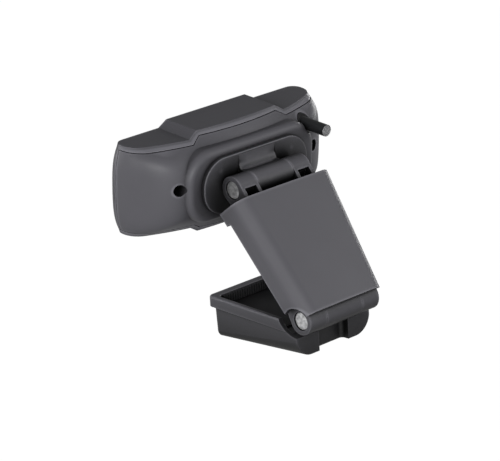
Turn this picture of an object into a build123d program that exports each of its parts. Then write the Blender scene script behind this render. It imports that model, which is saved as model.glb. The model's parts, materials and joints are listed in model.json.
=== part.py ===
"""Webcam head on a folding clip stand: foot, arm and head joined by two friction hinges.

Millimetres, +Z up, the lens looks along +Y. The origin is the mouth of the tripod thread,
on the plane that the foot rests on.
"""
from build123d import *
from math import atan2, cos, pi, radians, sin, sqrt, tan
import os

# ---- stance -------------------------------------------------------------------------
hinge_spacing = 58.0        # lower to upper hinge axis
arm_angle = 52.6            # arm above the horizontal
head_pitch = 4.5            # lens axis above the horizontal
lower_axis_y = -25.5        # in the foot's frame, which lies along the tray's rim
lower_axis_z = 15.9
foot_tilt = 3.3             # the rim rises towards the front; the underside is level

# ---- hinges -------------------------------------------------------------------------
barrel_radius = 5.6
knuckle_half = 9.7          # centre knuckle, half its length
lug_gap = 0.1               # between a knuckle and each lug
lug_outer = 18.8            # outer face of a lug from the middle
pin_radius = 2.4
pin_fit = 0.05              # radial, pin in knuckle and lugs
pin_head_radius = 3.6
pin_head_thickness = 1.3
pin_head_recess = 0.5       # head below the lug's face
head_fit = 0.15             # radial, around pin heads, rings and washers
swing_gap = 0.35            # around a barrel
washer_thickness = 0.5
washer_radius = 4.3
washer_play = 0.04
ring_thickness = 0.8
ring_radius = 3.9

# ---- foot ---------------------------------------------------------------------------
foot_width = 40.0
foot_rear_y = -24.0
foot_front_y = 24.8         # lower wall
foot_height = 14.5
rim_height = 4.5            # band round the top edge
rim_front_out = 2.3         # band beyond the lower wall at the front
lower_inset = 0.9           # lower wall behind the band at the front
foot_wall = 2.0
deck_thickness = 1.8
pad_thickness = 1.5
rear_corner_radius = 7.8    # bottom edges at the rear
front_corner_radius = 2.5   # bottom edges at the front
plan_corner_radius = 3.2
rim_corner_radius = 2.4
recess_corner_radius = 2.2
rim_edge_radius = 0.9
tray_depth = 4.6            # rim to the pad
shelf_y = -13.6             # rear end of the tray's floor
scoop_radius = 11.0         # in the side walls, round the lugs
scoop_rise = 3.65           # centre of the scoop above the lower axis
notch_half = 8.0
notch_depth = 3.9
notch_height = 8.4
notch_corner = 1.6
rib_thickness = 1.4
knuckle_neck = 7.4          # front of the knuckle's root ahead of the axis
front_pad_thickness = 1.2
front_pad_gap = 0.5
pad_groove_pitch = 1.3
pad_groove_depth = 0.35

# ---- tripod thread -------------------------------------------------------------------
thread_minor_radius = 2.55  # 1/4-20 UNC internal thread, minor diameter 5.1
insert_radius = 4.3
insert_length = 6.5
insert_flange_radius = 5.2
insert_flange = 0.9
insert_knurls = 16
knurl_depth = 0.25
boss_wall = 1.9

# ---- underside of the foot --------------------------------------------------------------
sole_thickness = 2.0
sole_gap = 0.15
sole_rear_y = -17.2
sole_front_y = 21.6
sole_rear_half = 11.2
sole_front_half = 15.4
sole_corner = 2.0
sole_ledge = 1.2
sole_screw_rear = (8.0, -13.8)
sole_screw_front = (12.2, 18.2)

# ---- arm ----------------------------------------------------------------------------
cover_top = 8.7             # outer face above the line of the hinges
cover_crown = 0.4
cover_wall = 2.2
cover_lower_half = 21.3     # half width at the lower end
cover_upper_half = 25.6     # half width at the upper end
cover_upper_clear = 6.2     # cover's end short of the upper axis
cover_roll = 6.2            # radius of the rolled sides
cover_skirt = -3.0          # lower edge of the sides
ear_skirt = -5.3            # lower edge of the ears at the upper end
ear_length = 5.6
cover_end_clear = 6.05      # sides trimmed round the lower axis
link_gap = 0.15
link_plate = 1.8
link_lower_clear = 8.4      # plate's ends from the two axes
link_upper_clear = 7.4
link_rib = 1.6
lug_web_lower = 14.0        # length of the lower lugs' roots
lug_web_upper = 12.4        # and of the upper ones'
pocket_floor = 1.0          # floor of the pockets in the upper lugs
grip_pad_thickness = 1.0
grip_pad_inset = 3.2
grip_pad_gap = 0.4          # from the upper lugs' roots
screw_post_radius = 2.4
screw_shank_radius = 0.9
screw_head_radius = 1.75
screw_head_height = 1.2

# ---- head housing (heights are from the head's middle plane) ---------------------------
head_drop = 0.6             # middle plane below the upper hinge axis
head_front_y = 35.7
wing_half_height = 18.6
centre_half_height = 21.2
centre_half_top = 21.2      # raised centre, half width of its flat
centre_half_foot = 25.4     # and at its foot
band_height = 1.9           # front shell's edge above the rear cover
parting_gap = 0.25
shell_wall = 1.8
edge_rear_y = 14.3          # back of the outline along the top and bottom edges
edge_bow_radius = 110.0
edge_half_width = 48.8
edge_corner_radius = 8.0
edge_front_radius = 4.4
middle_rear_y = 8.9         # back of the outline at the middle plane
middle_bow_radius = 600.0
middle_half_width = 51.5
middle_corner_radius = 22.9
middle_front_radius = 3.4
dome_power = 3
bezel_depth = 4.4           # front shell's rim from the front
front_wall = 2.8

# ---- hinge boss ----------------------------------------------------------------------
step1_half_width = 34.4
step1_half_height = 15.2
step1_corner = 12.5
step1_face_y = 8.0
step1_round = 3.0
step2_half_width = 27.8
step2_half_height = 11.6
step2_corner = 10.8
step2_face_y = 5.95
step2_edge = 0.35
boss_ring_radius = 3.8      # rings inside the cover, under the boss screws' heads
boss_ring_rise = 1.6
boss_screw_head_radius = 3.3

# ---- rear fixings and cable -------------------------------------------------------------
well_inset = 15.2           # screw well from the end of the head
well_z = 1.4
well_radius = 2.45
well_depth = 9.0
housing_post_radius = 3.4
cable_inset = 18.9          # cable's axis from the end of the head
cable_z = 11.7
cable_radius = 2.45
cable_length = 14.0         # outside the cover
cable_inside = 5.5
grommet_radius = 3.5
grommet_flange = 4.4
grommet_proud = 0.35

# ---- optics and electronics --------------------------------------------------------------
panel_thickness = 1.2
panel_margin = 3.0
panel_gap = 0.12
lens_ring_outer = 9.5
lens_ring_inner = 6.6
lens_ring_depth = 3.0
glass_thickness = 1.0
glass_seat = 0.6
board_y = 22.4
board_thickness = 1.2
board_half_width = 31.5
board_half_height = 12.6
holder_half = 7.0
holder_base = 3.2
holder_tube_radius = 5.6
holder_tube_length = 4.6
barrel_outer = 4.6
barrel_inner = 3.4
barrel_length = 6.6
element_count = 4
sensor_half = 3.6
sensor_thickness = 0.9
filter_half = 2.8
filter_thickness = 0.3
microphone_x = 26.0
microphone_size = (4.0, 1.1, 3.0)
connector_size = (8.5, 3.6, 4.2)
light_x = 14.0
light_radius = 0.9
board_screw_x = 28.0
board_screw_z = 9.0
board_post_radius = 2.1

os.makedirs("parts", exist_ok=True)

cover_length = hinge_spacing - cover_upper_clear
link_upper_u = hinge_spacing - link_upper_clear
upper_axis_y = lower_axis_y + hinge_spacing * cos(radians(arm_angle))
upper_axis_z = lower_axis_z + hinge_spacing * sin(radians(arm_angle))
tilt = radians(foot_tilt)
level = Pos(0, 0, -foot_rear_y * sin(tilt)) * Rot(foot_tilt, 0, 0)
arm_frame = level * Pos(0, lower_axis_y, lower_axis_z) * Rot(arm_angle, 0, 0)
head_frame = level * Pos(0, upper_axis_y, upper_axis_z) * Rot(head_pitch, 0, 0)
well_x = middle_half_width - well_inset
cable_x = middle_half_width - cable_inset
head_reach = 1.2 * middle_half_width
tiny = 0.01


def write(shape, name, frame=Location()):
    """Place a finished piece in the model and write it."""
    placed = frame * shape
    export_step(placed, f"parts/{name}.step")


def x_cylinder(radius, x0, x1, y=0.0, z=0.0):
    """A cylinder along X between two stations."""
    bar = Cylinder(radius, x1 - x0, align=(Align.CENTER, Align.CENTER, Align.MIN))
    return Pos(x0, y, z) * Rot(0, 90, 0) * bar


def y_cylinder(radius, y0, y1, x=0.0, z=0.0):
    """A cylinder along Y between two stations."""
    bar = Cylinder(radius, y1 - y0, align=(Align.CENTER, Align.CENTER, Align.MIN))
    return Pos(x, y0, z) * Rot(-90, 0, 0) * bar


def block(x0, x1, y0, y1, z0, z1):
    """A box given by its limits."""
    size = Box(x1 - x0, y1 - y0, z1 - z0)
    return Pos((x0 + x1) / 2, (y0 + y1) / 2, (z0 + z1) / 2) * size


def side_prism(points, x0, x1):
    """A prism along X over a polygon given as (y, z) points."""
    face = make_face(Polyline(*[(x0, y, z) for y, z in points], close=True))
    return extrude(face, x1 - x0, dir=(1, 0, 0))


def mirrored(shape):
    """A shape and its copy across the middle plane."""
    return shape + mirror(shape, Plane.YZ)


def closed_face(edges):
    """A planar face inside a closed chain of edges."""
    return make_face(edges)


def rounded_slab(half_width, half_height, corner, y0, y1, z=0.0):
    """A rounded rectangle in X and Z, extruded along Y."""
    face = RectangleRounded(2 * half_width, 2 * half_height, corner)
    return Pos(0, y0, z) * Rot(-90, 0, 0) * extrude(face, y1 - y0)


def screw(head_radius, head_height, shank_radius, length):
    """A pan-head screw, its head's seat on the origin and its shank along -Z."""
    head = Cylinder(head_radius, head_height, align=(Align.CENTER, Align.CENTER, Align.MIN))
    head = fillet(head.edges().group_by(Axis.Z)[-1], 0.3 * head_height)
    shank = Cylinder(shank_radius, length, align=(Align.CENTER, Align.CENTER, Align.MAX))
    slot = Box(1.3 * head_radius, 0.32 * head_radius, head_height)
    cross = slot + Rot(0, 0, 90) * slot
    return head + shank - Pos(0, 0, head_height) * cross


# =====================================================================================
# Foot
# =====================================================================================

def foot_section(y, half_width, corner, floor, top):
    """Cross-section of the foot: upright sides and rounded lower corners."""
    bend = corner * (1 - sqrt(0.5))
    points = [
        (-half_width, y, top),
        (-half_width, y, floor + corner),
        (-half_width + corner, y, floor),
        (half_width - corner, y, floor),
        (half_width, y, floor + corner),
        (half_width, y, top),
    ]
    left_mid = (-half_width + bend, y, floor + bend)
    right_mid = (half_width - bend, y, floor + bend)
    edges = [
        Line(points[0], points[1]),
        ThreePointArc(points[1], left_mid, points[2]),
        Line(points[2], points[3]),
        ThreePointArc(points[3], right_mid, points[4]),
        Line(points[4], points[5]),
        Line(points[5], points[0]),
    ]
    return closed_face(edges)


def plan_prism(half_width, y0, y1, corner, z0, z1):
    """An upright prism whose two front corners are rounded."""
    prism = block(-half_width, half_width, y0, y1, z0, z1)
    uprights = prism.edges().filter_by(Axis.Z).group_by(Axis.Y)[-1]
    return fillet(uprights, corner)


def tapered_plate(rear_half, front_half, y0, y1, z0, z1):
    """A flat plate whose width changes from rear to front."""
    points = [(-rear_half, y0), (rear_half, y0), (front_half, y1), (-front_half, y1)]
    return Pos(0, 0, z0) * extrude(make_face(Polyline(*points, close=True)), z1 - z0)


def sole_outline(gap, z0, z1):
    """The sole plate's plan, or the recess that takes it."""
    plate = tapered_plate(sole_rear_half + gap, sole_front_half + gap,
                          sole_rear_y - gap, sole_front_y + gap, z0, z1)
    return fillet(plate.edges().filter_by(Axis.Z), sole_corner + gap)


def deck_under_at(y):
    """Height of the deck's lower face above the ground."""
    return deck_under * cos(tilt) + (y - foot_rear_y) * tan(tilt)


front_half_width = foot_width / 2 - lower_inset
rim_front_y = foot_front_y + rim_front_out
deck_top = foot_height - tray_depth - pad_thickness
deck_under = deck_top - deck_thickness
recess_half = foot_width / 2 - foot_wall
recess_front_y = foot_front_y - foot_wall
shelf_top = deck_top + 0.9
scoop_y = foot_rear_y + 0.25
scoop_z = lower_axis_z + scoop_rise
boss_radius = insert_radius + boss_wall

front_drop = (foot_front_y - foot_rear_y) * tan(tilt)
lower_body = loft([
    foot_section(foot_rear_y, foot_width / 2, rear_corner_radius, 0, foot_height),
    foot_section(foot_front_y, front_half_width, front_corner_radius,
                 -front_drop, foot_height),
])
shaper = tapered_plate(foot_width / 2, front_half_width, foot_rear_y - 5, foot_front_y,
                       0, foot_height + 5)
shaper = fillet(shaper.edges().filter_by(Axis.Z).group_by(Axis.Y)[-1], plan_corner_radius)
shaper = fillet(shaper.faces().sort_by(Axis.Z)[0].edges().filter_by(
    lambda e: e.center().Y > foot_rear_y), front_corner_radius)
lower_body &= level.inverse() * shaper
rim = plan_prism(
    foot_width / 2, foot_rear_y, rim_front_y, rim_corner_radius,
    foot_height - rim_height, foot_height)
rim = fillet(rim.faces().sort_by(Axis.Z)[-1].edges().filter_by(
    lambda e: e.center().Y > foot_rear_y + 1), rim_edge_radius)
tray = lower_body + rim

# tray recess, shelf under the lugs, and the scoops that clear them
tray -= plan_prism(
    recess_half, shelf_y, recess_front_y, recess_corner_radius,
    deck_top, foot_height + 1)
tray -= block(-recess_half, recess_half, foot_rear_y - 1, shelf_y + tiny,
              shelf_top, foot_height + 1)
tray -= x_cylinder(scoop_radius, -foot_width, foot_width, scoop_y, scoop_z)

# hollow underside
hollow_rear_y = foot_rear_y + notch_depth + foot_wall
hollow = loft([
    foot_section(foot_rear_y, recess_half, rear_corner_radius - foot_wall,
                 sole_thickness, foot_height),
    foot_section(foot_front_y, front_half_width - foot_wall, front_corner_radius / 2,
                 sole_thickness - front_drop, foot_height),
])
tray -= hollow & block(-foot_width, foot_width, hollow_rear_y, recess_front_y - 1,
                       -foot_height, deck_under)

# centre knuckle and its root
root_half = knuckle_half
knuckle_drop = barrel_radius * cos(radians(50))
root = side_prism([
    (foot_rear_y + tiny, notch_height),
    (lower_axis_y - barrel_radius * sin(radians(50)), lower_axis_z - knuckle_drop),
    (lower_axis_y, lower_axis_z),
    (lower_axis_y + barrel_radius * cos(radians(25)),
     lower_axis_z + barrel_radius * sin(radians(25)) * 0.4),
    (lower_axis_y + knuckle_neck, shelf_top + tiny),
    (lower_axis_y + knuckle_neck, notch_height),
], -root_half, root_half)
tray += root
tray += x_cylinder(barrel_radius, -knuckle_half, knuckle_half, lower_axis_y, lower_axis_z)
tray -= x_cylinder(pin_radius + pin_fit, -knuckle_half - 1, knuckle_half + 1,
                   lower_axis_y, lower_axis_z)
washer_seat = washer_thickness + 2 * washer_play - lug_gap
for side in (-1, 1):
    seat = x_cylinder(washer_radius + head_fit, 0, washer_seat + 1)
    start = knuckle_half - washer_seat if side > 0 else -knuckle_half - 1
    tray -= Pos(start, lower_axis_y, lower_axis_z) * seat

# rear notch
notch = block(-notch_half, notch_half, foot_rear_y - 1, foot_rear_y + notch_depth,
              -1, notch_height)
tray -= fillet(notch.edges().filter_by(Axis.Z).group_by(Axis.Y)[-1], notch_corner)

# in the model's frame: ledge for the sole, boss for the insert, posts and ribs
tray = level * tray
tray -= sole_outline(sole_gap, -1, sole_thickness)
tray += Cylinder(boss_radius, deck_under_at(0) + deck_thickness / 2,
                 align=(Align.CENTER, Align.CENTER, Align.MIN))
sole_posts = [
    (side * x, y)
    for x, y in (sole_screw_rear, sole_screw_front)
    for side in (-1, 1)
]
for x, y in sole_posts:
    post_top = deck_under_at(y) + deck_thickness / 2
    post = Cylinder(screw_post_radius, post_top - sole_thickness,
                    align=(Align.CENTER, Align.CENTER, Align.MIN))
    tray += Pos(x, y, sole_thickness) * post
    rib = block(boss_radius - 1, sqrt(x * x + y * y) - screw_post_radius / 2,
                -rib_thickness / 2, rib_thickness / 2,
                sole_thickness + 1, deck_under_at(y / 2) + deck_thickness / 2)
    tray += Rot(0, 0, atan2(y, x) * 180 / pi) * rib
    tray -= Pos(x, y, 0) * Cylinder(screw_shank_radius, 2 * (deck_under_at(y) - 0.5))
tray -= Cylinder(insert_radius, 2 * insert_length)
tray -= Cylinder(insert_flange_radius + tiny, 2 * insert_flange)
write(tray, "base_tray")

floor_pad = plan_prism(
    recess_half - sole_gap, shelf_y + sole_gap, recess_front_y - sole_gap,
    recess_corner_radius - sole_gap, deck_top, deck_top + pad_thickness)
write(floor_pad, "tray_floor_pad", level)


def grooved_pad(half_width, thickness, height):
    """A strip with fine upright grooves in its rear face; its front face is on y = 0."""
    count = int(2 * half_width / pad_groove_pitch)
    start = -count * pad_groove_pitch / 2
    points = [(-half_width, 0), (half_width, 0), (half_width, -thickness)]
    for index in reversed(range(count)):
        x = start + index * pad_groove_pitch
        points.append((x + 0.80 * pad_groove_pitch, -thickness))
        points.append((x + 0.70 * pad_groove_pitch, -thickness + pad_groove_depth))
        points.append((x + 0.35 * pad_groove_pitch, -thickness + pad_groove_depth))
        points.append((x + 0.25 * pad_groove_pitch, -thickness))
    points.append((-half_width, -thickness))
    return extrude(make_face(Polyline(*points, close=True)), height)


pad_bottom = deck_top + pad_thickness + front_pad_gap
front_pad = grooved_pad(recess_half - recess_corner_radius, front_pad_thickness,
                        foot_height - 0.4 - pad_bottom)
write(Pos(0, recess_front_y, pad_bottom) * front_pad, "front_wall_pad", level)

sole = sole_outline(0, 0, sole_thickness - tiny)
sole -= Cylinder(boss_radius + sole_gap, 4 * sole_thickness)
sole_screws = []
for x, y in sole_posts:
    sole -= Pos(x, y, 0) * Cylinder(screw_head_radius + head_fit, 2 * (screw_head_height + 0.1))
    sole -= Pos(x, y, 0) * Cylinder(screw_shank_radius + head_fit, 4 * sole_thickness)
    seated = Pos(x, y, screw_head_height + 0.1) * Rot(180, 0, 0)
    sole_screws.append(seated * screw(screw_head_radius, screw_head_height,
                                      screw_shank_radius - tiny, 4.2))
write(sole, "sole_plate")
write(Compound(children=sole_screws), "sole_screws")

insert = Cylinder(insert_radius - tiny, insert_length - tiny,
                  align=(Align.CENTER, Align.CENTER, Align.MIN))
for index in range(insert_knurls):
    groove = Pos(insert_radius, 0, insert_length / 2 + insert_flange)
    insert -= Rot(0, 0, index * 360 / insert_knurls) * groove * Rot(0, 0, 45) * Box(
        1.4 * knurl_depth, 1.4 * knurl_depth, insert_length - insert_flange - 1)
insert += Cylinder(insert_flange_radius - tiny, insert_flange - tiny,
                   align=(Align.CENTER, Align.CENTER, Align.MIN))
insert -= Cylinder(thread_minor_radius, 3 * insert_length)
write(insert, "tripod_insert")


# =====================================================================================
# Hinge hardware, shared by both hinges
# =====================================================================================

def hinge_pin():
    """A headed pin along X through the lugs and the knuckle, turned down for its ring."""
    head_x = -lug_outer + pin_head_recess
    end_x = lug_outer - pin_head_recess
    pin = x_cylinder(pin_radius, head_x + tiny, end_x)
    head = x_cylinder(pin_head_radius, head_x, head_x + pin_head_thickness)
    head = fillet(head.edges().group_by(Axis.X)[0], 0.35)
    tip = pin.edges().group_by(Axis.X)[-1]
    return chamfer(tip, 0.3) + head


def friction_washers():
    """A washer on each side of the knuckle."""
    inner = knuckle_half + lug_gap - washer_play - washer_thickness
    ring = x_cylinder(washer_radius, inner, inner + washer_thickness)
    ring -= x_cylinder(pin_radius + head_fit, 0, lug_outer)
    return Compound(children=[ring, mirror(ring, Plane.YZ)])


def retaining_ring():
    """A push-on ring in the counterbore at the pin's far end."""
    outer = lug_outer - pin_head_recess - 0.4
    ring = x_cylinder(ring_radius, outer - ring_thickness, outer)
    ring -= x_cylinder(pin_radius + tiny, 0, lug_outer)
    notch = block(outer - ring_thickness, outer, -0.35, 0.35, 0, pin_radius + 0.7)
    for turn in range(3):
        ring -= Rot(turn * 120, 0, 0) * notch
    return ring


def lug_bores(u):
    """What is bored out of a pair of lugs: pin hole, head seat and ring seat."""
    bore = x_cylinder(pin_radius + pin_fit, -foot_width, foot_width)
    head_floor = -lug_outer + pin_head_recess + pin_head_thickness
    bore += x_cylinder(pin_head_radius + head_fit, -foot_width, head_floor)
    ring_floor = lug_outer - pin_head_recess - 0.4 - ring_thickness
    bore += x_cylinder(ring_radius + head_fit, ring_floor, foot_width)
    return Pos(0, u, 0) * bore


write(hinge_pin(), "lower_hinge_pin", arm_frame)
write(friction_washers(), "lower_friction_washers", arm_frame)
write(retaining_ring(), "lower_pin_ring", arm_frame)
upper_place = arm_frame * Pos(0, hinge_spacing, 0)
write(hinge_pin(), "upper_hinge_pin", upper_place)
write(friction_washers(), "upper_friction_washers", upper_place)
write(retaining_ring(), "upper_pin_ring", upper_place)


# =====================================================================================
# Arm: u runs from the lower hinge to the upper one (local Y), n points outwards (local Z)
# =====================================================================================

def cover_section(u, half_width, top, roll, skirt):
    """Cross-section of the arm: flat back, rolled edges, straight sides."""
    bend = roll * (1 - sqrt(0.5))
    points = [
        (-half_width, u, skirt),
        (-half_width, u, top - roll),
        (-half_width + roll, u, top),
        (half_width - roll, u, top),
        (half_width, u, top - roll),
        (half_width, u, skirt),
    ]
    edges = [
        Line(points[0], points[1]),
        ThreePointArc(points[1], (-half_width + bend, u, top - bend), points[2]),
        ThreePointArc(points[2], (0, u, top + cover_crown), points[3]),
        ThreePointArc(points[3], (half_width - bend, u, top - bend), points[4]),
        Line(points[4], points[5]),
        Line(points[5], points[0]),
    ]
    return closed_face(edges)


def half_width_at(u, inset=0.0):
    """Half width of the tapered cover at a station."""
    share = u / cover_length
    return cover_lower_half + (cover_upper_half - cover_lower_half) * share - inset


outer = loft([
    cover_section(u, half_width_at(u), cover_top, cover_roll, ear_skirt)
    for u in (0, cover_length)
])
inner = loft([
    cover_section(u, half_width_at(u, cover_wall), cover_top - cover_wall,
                  cover_roll - cover_wall, ear_skirt - 1)
    for u in (-1, cover_length + 1)
])
cover = outer - inner
cover -= block(-foot_width, foot_width, -1, cover_length - ear_length,
               ear_skirt - 1, cover_skirt)
end_trim = x_cylinder(cover_end_clear, lug_outer - 1.5, foot_width)
cover -= mirrored(end_trim)
screw_stations = (17.0, 42.0)
screw_x = 14.3
plate_top = cover_skirt + 0.1 + link_plate
link_screws = [(side * screw_x, u) for u in screw_stations for side in (-1, 1)]
for x, u in link_screws:
    post = Cylinder(screw_post_radius, cover_top - cover_wall / 2 - plate_top,
                    align=(Align.CENTER, Align.CENTER, Align.MIN))
    cover += Pos(x, u, plate_top) * post
    cover -= Pos(x, u, plate_top - tiny) * Cylinder(
        screw_shank_radius, cover_top - cover_wall - plate_top - 1,
        align=(Align.CENTER, Align.CENTER, Align.MIN))
write(cover, "arm_cover", arm_frame)


def lug(u, inward, web):
    """One lug on the +X side: barrel, web towards the middle of the arm, and a pocket."""
    x0 = knuckle_half + lug_gap
    barrel = x_cylinder(barrel_radius, x0, lug_outer, u, 0)
    near = u + inward * 1.0
    far = u + inward * web
    body = side_prism([
        (near, -barrel_radius + 0.1),
        (near, barrel_radius - 0.05),
        (far, barrel_radius - 0.05),
        (far, cover_skirt + 0.1),
    ], x0, lug_outer)
    low, high = sorted((u + inward * 2.2, u + inward * (web - 1.4)))
    pocket = block(x0 + 1.5, lug_outer - 1.5, low, high, pocket_floor - 1.6, barrel_radius)
    pocket -= x_cylinder(pin_radius + 1.6, 0, foot_width, u, 0)
    return barrel + body - pocket


plate_under = cover_skirt + 0.1
link_inset = cover_wall + link_gap
plate_points = [
    (-half_width_at(link_lower_clear, link_inset), link_lower_clear),
    (half_width_at(link_lower_clear, link_inset), link_lower_clear),
    (half_width_at(link_upper_u, link_inset), link_upper_u),
    (-half_width_at(link_upper_u, link_inset), link_upper_u),
]
link = Pos(0, 0, plate_under) * extrude(
    make_face(Polyline(*plate_points, close=True)), link_plate)
link += mirrored(lug(0, 1, lug_web_lower))
link += mirrored(lug(hinge_spacing, -1, lug_web_upper))
rib_heights = (plate_top - tiny, plate_top + 4.2)
for x in (knuckle_half + lug_gap, lug_outer - link_rib):
    rib = block(x, x + link_rib, lug_web_lower - 2, link_upper_u - 3, *rib_heights)
    link += mirrored(rib)
for u in (24.5, 34.5):
    link += block(-lug_outer, lug_outer, u, u + link_rib, *rib_heights)
link -= lug_bores(0)
link -= lug_bores(hinge_spacing)
clear = loft([
    cover_section(u, half_width_at(u, link_inset), cover_top - link_inset,
                  cover_roll - link_inset, ear_skirt - 1)
    for u in (-1, cover_length + 1)
])
link_trim = x_cylinder(cover_end_clear - link_gap, lug_outer - 1.5 + link_gap, foot_width)
link -= outer - clear - mirrored(link_trim)
link_fixings = []
for x, u in link_screws:
    hole = Cylinder(screw_shank_radius + head_fit, 3 * link_plate)
    seat = Cylinder(screw_head_radius + head_fit, screw_head_height,
                    align=(Align.CENTER, Align.CENTER, Align.MAX))
    link -= Pos(x, u, plate_under) * hole
    link -= Pos(x, u, plate_under + screw_head_height) * seat
    place = Pos(x, u, plate_under + screw_head_height) * Rot(180, 0, 0)
    link_fixings.append(place * screw(screw_head_radius, screw_head_height - 0.05,
                                      screw_shank_radius - tiny, 5.0))
write(link, "arm_link", arm_frame)
write(Compound(children=link_fixings), "arm_screws", arm_frame)

pad_end = hinge_spacing - lug_web_upper - grip_pad_gap
pad_lower_half = half_width_at(link_lower_clear, link_inset + grip_pad_inset)
pad_upper_half = half_width_at(link_upper_u, link_inset + grip_pad_inset)
pad_points = [
    (-pad_lower_half, lug_web_lower + 1),
    (pad_lower_half, lug_web_lower + 1),
    (pad_upper_half, pad_end),
    (-pad_upper_half, pad_end),
]
grip_pad = Pos(0, 0, plate_under - grip_pad_thickness) * extrude(
    make_face(Polyline(*pad_points, close=True)), grip_pad_thickness)
grip_pad = fillet(grip_pad.edges().filter_by(Axis.Z), 2.5)
write(grip_pad, "arm_grip_pad", arm_frame)


# =====================================================================================
# Head: the origin is the upper hinge axis, the lens looks along +Y
# =====================================================================================

def outline(rear_y, bow, half_width, corner, front_corner, front_y, z):
    """Plan of the housing: bowed back, round rear corners, flat front."""
    bow_y = rear_y + 1 / bow
    centre_x = half_width - corner
    centre_y = bow_y - sqrt((1 / bow - corner) ** 2 - centre_x ** 2)
    stretch = (1 / bow) / (1 / bow - corner)
    meet_x = centre_x * stretch
    meet_y = bow_y + (centre_y - bow_y) * stretch
    turn = atan2(-centre_y + meet_y, meet_x - centre_x) / 2
    mid_x = centre_x + corner * cos(turn)
    mid_y = centre_y + corner * sin(turn)
    nose_y = front_y - front_corner
    bend = front_corner * (1 - sqrt(0.5))
    right = [(meet_x, meet_y), (half_width, centre_y), (half_width, nose_y),
             (half_width - front_corner, front_y)]
    left = [(-x, y) for x, y in right]
    edges = [
        ThreePointArc((*left[0], z), (0, rear_y, z), (*right[0], z)),
        ThreePointArc((*right[0], z), (mid_x, mid_y, z), (*right[1], z)),
        Line((*right[1], z), (*right[2], z)),
        ThreePointArc((*right[2], z), (half_width - bend, front_y - bend, z), (*right[3], z)),
        Line((*right[3], z), (*left[3], z)),
        ThreePointArc((*left[3], z), (-half_width + bend, front_y - bend, z), (*left[2], z)),
        Line((*left[2], z), (*left[1], z)),
        ThreePointArc((*left[1], z), (-mid_x, mid_y, z), (*left[0], z)),
    ]
    return closed_face(edges)


def blend(middle, edge, share):
    """A value between the housing's middle plane and its long edges."""
    return middle + (edge - middle) * share


def profile_prism(inset, y1=head_front_y + 10):
    """The housing's outline seen from the front, with the raised centre, along Y."""
    rise = centre_half_height - wing_half_height
    shift = inset * tan(atan2(rise, centre_half_foot - centre_half_top) / 2)
    wing = wing_half_height - inset
    top = centre_half_height - inset
    quarter = [(head_reach, wing), (centre_half_foot - shift, wing), (centre_half_top - shift, top)]
    upper = quarter + [(-x, z) for x, z in reversed(quarter)]
    lower = [(x, -z) for x, z in reversed(upper)]
    points = [(x, -10, z - head_drop) for x, z in upper + lower]
    return extrude(make_face(Polyline(*points, close=True)), y1 + 10, dir=(0, 1, 0))


def housing(inset, front_inset):
    """The head's outer form, or the same form drawn inwards."""
    sections = []
    for height in (-1.0, -0.88, -0.66, -0.38, 0.0, 0.38, 0.66, 0.88, 1.0):
        level = height * centre_half_height
        share = abs(level / wing_half_height) ** dome_power
        held = min(share, 1.0)
        bow = blend(1 / middle_bow_radius, 1 / edge_bow_radius, held) * (1 + held - share)
        sections.append(outline(
            blend(middle_rear_y, edge_rear_y, share) + inset,
            1 / (1 / bow - inset),
            blend(middle_half_width, edge_half_width, held) - inset,
            blend(middle_corner_radius, edge_corner_radius, held) - inset,
            blend(middle_front_radius, edge_front_radius, held) - inset,
            head_front_y,
            level - head_drop))
    return loft(sections) & profile_prism(inset, head_front_y - front_inset)


rear_limit_y = head_front_y - bezel_depth
boss_post_end = middle_rear_y + shell_wall + boss_ring_rise
body = housing(0, 0)
cavity = housing(shell_wall, front_wall)
skin = body - cavity
rear_zone = (profile_prism(band_height)
             & block(-head_reach, head_reach, -10, rear_limit_y, -head_reach, head_reach))
split_zone = (profile_prism(band_height - parting_gap)
              & block(-head_reach, head_reach, -10, rear_limit_y + parting_gap,
                      -head_reach, head_reach))
rear_cover = skin & rear_zone
front_shell = skin - split_zone

# soft first step of the boss, hollow inside
step1 = rounded_slab(step1_half_width, step1_half_height, step1_corner,
                     step1_face_y, middle_rear_y + 8)
step1 = fillet(step1.faces().sort_by(Axis.Y)[0].edges(), step1_round)
rear_cover += step1 - housing(shell_wall, front_wall)

# rings round the boss's posts, wells for the screws, and the cable's hole
boss_posts = [(x, z) for x in (-19.0, 19.0) for z in (-6.4, 6.4)]
for x, z in boss_posts:
    rear_cover += y_cylinder(boss_ring_radius, step1_face_y + 1, boss_post_end - 0.02, x, z)
    rear_cover -= y_cylinder(screw_post_radius + head_fit, 0, 20, x, z)
well_floor_y = 11.5 + well_depth
for side in (-1, 1):
    x = side * well_x
    post = y_cylinder(housing_post_radius, 0, well_floor_y + 1.2, x, well_z)
    rear_cover += post & housing(shell_wall / 2, shell_wall)
    rear_cover -= y_cylinder(well_radius, 0, well_floor_y, x, well_z)
    rear_cover -= y_cylinder(screw_shank_radius + head_fit, 0, 40, x, well_z)
rear_cover -= y_cylinder(grommet_radius, 0, 20, cable_x, cable_z)
write(rear_cover, "rear_cover", head_frame)

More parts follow.
